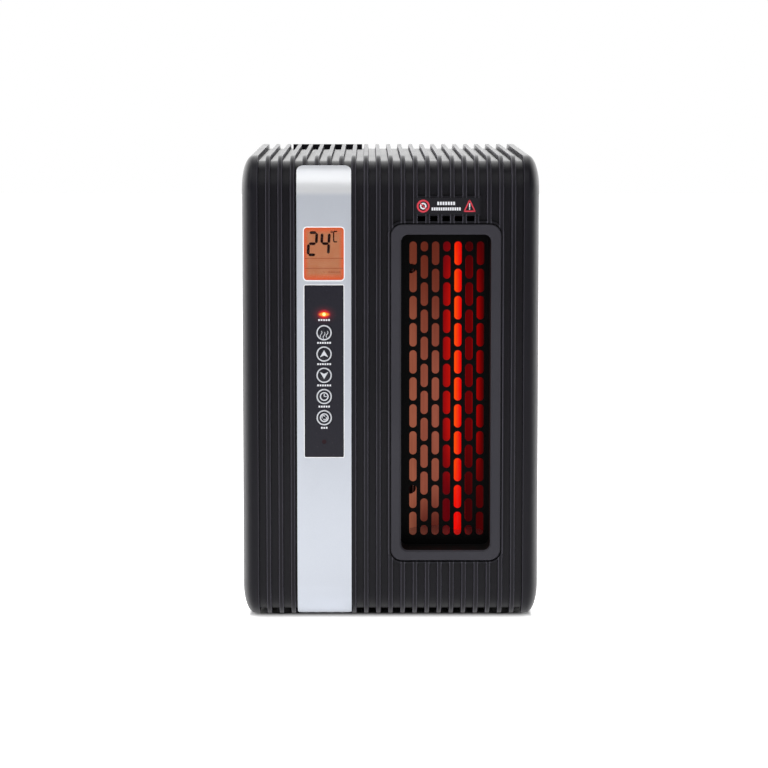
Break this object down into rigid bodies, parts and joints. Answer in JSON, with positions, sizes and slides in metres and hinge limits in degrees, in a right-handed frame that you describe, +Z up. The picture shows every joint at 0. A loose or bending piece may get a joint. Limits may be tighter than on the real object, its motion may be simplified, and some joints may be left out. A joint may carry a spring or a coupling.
{
  "type": "space heater",
  "caption": "Free-standing upright fan heater: ribbed case, silver control strip with display and keys, and a slotted warm-air outlet in front of a quartz tube.",
  "frame": {"origin": "on the floor, under the middle of the case", "axes": "+X to the right seen from the front, +Y to the back, +Z up"},
  "size_m": [0.21, 0.29, 0.3296],
  "materials": {
    "shell_black": "satin charcoal-black moulded plastic",
    "bezel_grey": "satin dark grey moulded plastic",
    "fascia_silver": "satin silver lacquer on moulded plastic",
    "window_clear": "clear acrylic window",
    "display_orange": "backlit orange display",
    "overlay_black": "glossy smoked overlay",
    "key_black": "glossy key caps with silver rings",
    "lamp_red": "lit red lamp",
    "sensor_dark": "dark infra-red window",
    "badge_black": "printed badge",
    "guard_black": "black stoved enamel",
    "zinc_steel": "zinc-plated sheet",
    "copper": "bright copper sheet, heat-tinted",
    "quartz": "clear fused quartz",
    "coil_wire": "glowing resistance wire",
    "ceramic_white": "unglazed steatite",
    "rotor_alu": "mill-finish aluminium",
    "shaft_steel": "ground steel",
    "motor_steel": "motor case",
    "bearing_bronze": "sintered bronze",
    "nylon_black": "black nylon",
    "board_green": "circuit board",
    "part_black": "component cases",
    "block_cream": "terminal block",
    "rubber_black": "black rubber",
    "filter_grey": "non-woven filter mat",
    "switch_black": "gloss black switch"
  },
  "bodies": {
    "casing": {"front_shell": "shell_black", "rear_shell": "shell_black", "left_side_panel": "shell_black", "right_side_panel": "shell_black", "control_fascia": "fascia_silver", "display_window": "window_clear", "display_module": "display_orange", "keypad_overlay": "overlay_black", "power_led": "lamp_red", "remote_sensor": "sensor_dark", "tact_switches": "part_black", "control_board": "board_green", "board_screws": "zinc_steel", "outlet_bezel": "bezel_grey", "outlet_guard": "guard_black", "guard_screws": "guard_black", "outlet_badge": "badge_black", "heat_chamber": "zinc_steel", "copper_reflector": "copper", "quartz_tube": "quartz", "heating_coil": "coil_wire", "lower_ceramic_cap": "ceramic_white", "upper_ceramic_cap": "ceramic_white", "tube_brackets": "zinc_steel", "thermal_cutout": "part_black", "blower_scroll": "zinc_steel", "fan_motor": "motor_steel", "motor_bracket": "zinc_steel", "bearing_bush": "bearing_bronze", "bearing_housing": "nylon_black", "chassis_tray": "zinc_steel", "power_board": "board_green", "transformer": "part_black", "relays": "part_black", "terminal_block": "block_cream", "tilt_switch": "part_black", "room_sensor": "nylon_black", "rubber_feet": "rubber_black", "foot_screws": "zinc_steel", "case_screws": "guard_black", "intake_guard": "nylon_black", "switch_frame": "switch_black", "cord_gland": "nylon_black", "gland_nut": "nylon_black", "top_vent_screen": "nylon_black"},
    "blower_rotor": {"fan_rotor": "rotor_alu", "rotor_shaft": "shaft_steel"},
    "intake_door": {"intake_cover": "shell_black", "filter_mat": "filter_grey"},
    "power_rocker": {"mains_rocker": "switch_black"},
    "heat_button": {"heat_key": "key_black"},
    "warmer_button": {"warmer_key": "key_black"},
    "cooler_button": {"cooler_key": "key_black"},
    "timer_button": {"timer_key": "key_black"},
    "eco_button": {"eco_key": "key_black"}
  },
  "joints": [
    {"name": "rotor_spin", "type": "hinge", "parent": "casing", "child": "blower_rotor", "pos_m": [0.0389, 0.0112, 0.165], "axis": [0, 0, 1], "continuous": true},
    {"name": "door_swing", "type": "hinge", "parent": "casing", "child": "intake_door", "pos_m": [0, 0.1432, 0.102], "axis": [-1, 0, 0], "range_deg": [0, 75]},
    {"name": "rocker_tilt", "type": "hinge", "parent": "casing", "child": "power_rocker", "pos_m": [0.052, 0.137, 0.04], "axis": [1, 0, 0], "range_deg": [-14, 0]},
    {"name": "heat_press", "type": "slide", "parent": "casing", "child": "heat_button", "axis": [0, 1, 0], "range_m": [0, 0.0006], "stiffness_N_per_m": 2000},
    {"name": "warmer_press", "type": "slide", "parent": "casing", "child": "warmer_button", "axis": [0, 1, 0], "range_m": [0, 0.0006], "stiffness_N_per_m": 2000},
    {"name": "cooler_press", "type": "slide", "parent": "casing", "child": "cooler_button", "axis": [0, 1, 0], "range_m": [0, 0.0006], "stiffness_N_per_m": 2000},
    {"name": "timer_press", "type": "slide", "parent": "casing", "child": "timer_button", "axis": [0, 1, 0], "range_m": [0, 0.0006], "stiffness_N_per_m": 2000},
    {"name": "eco_press", "type": "slide", "parent": "casing", "child": "eco_button", "axis": [0, 1, 0], "range_m": [0, 0.0006], "stiffness_N_per_m": 2000}
  ]
}
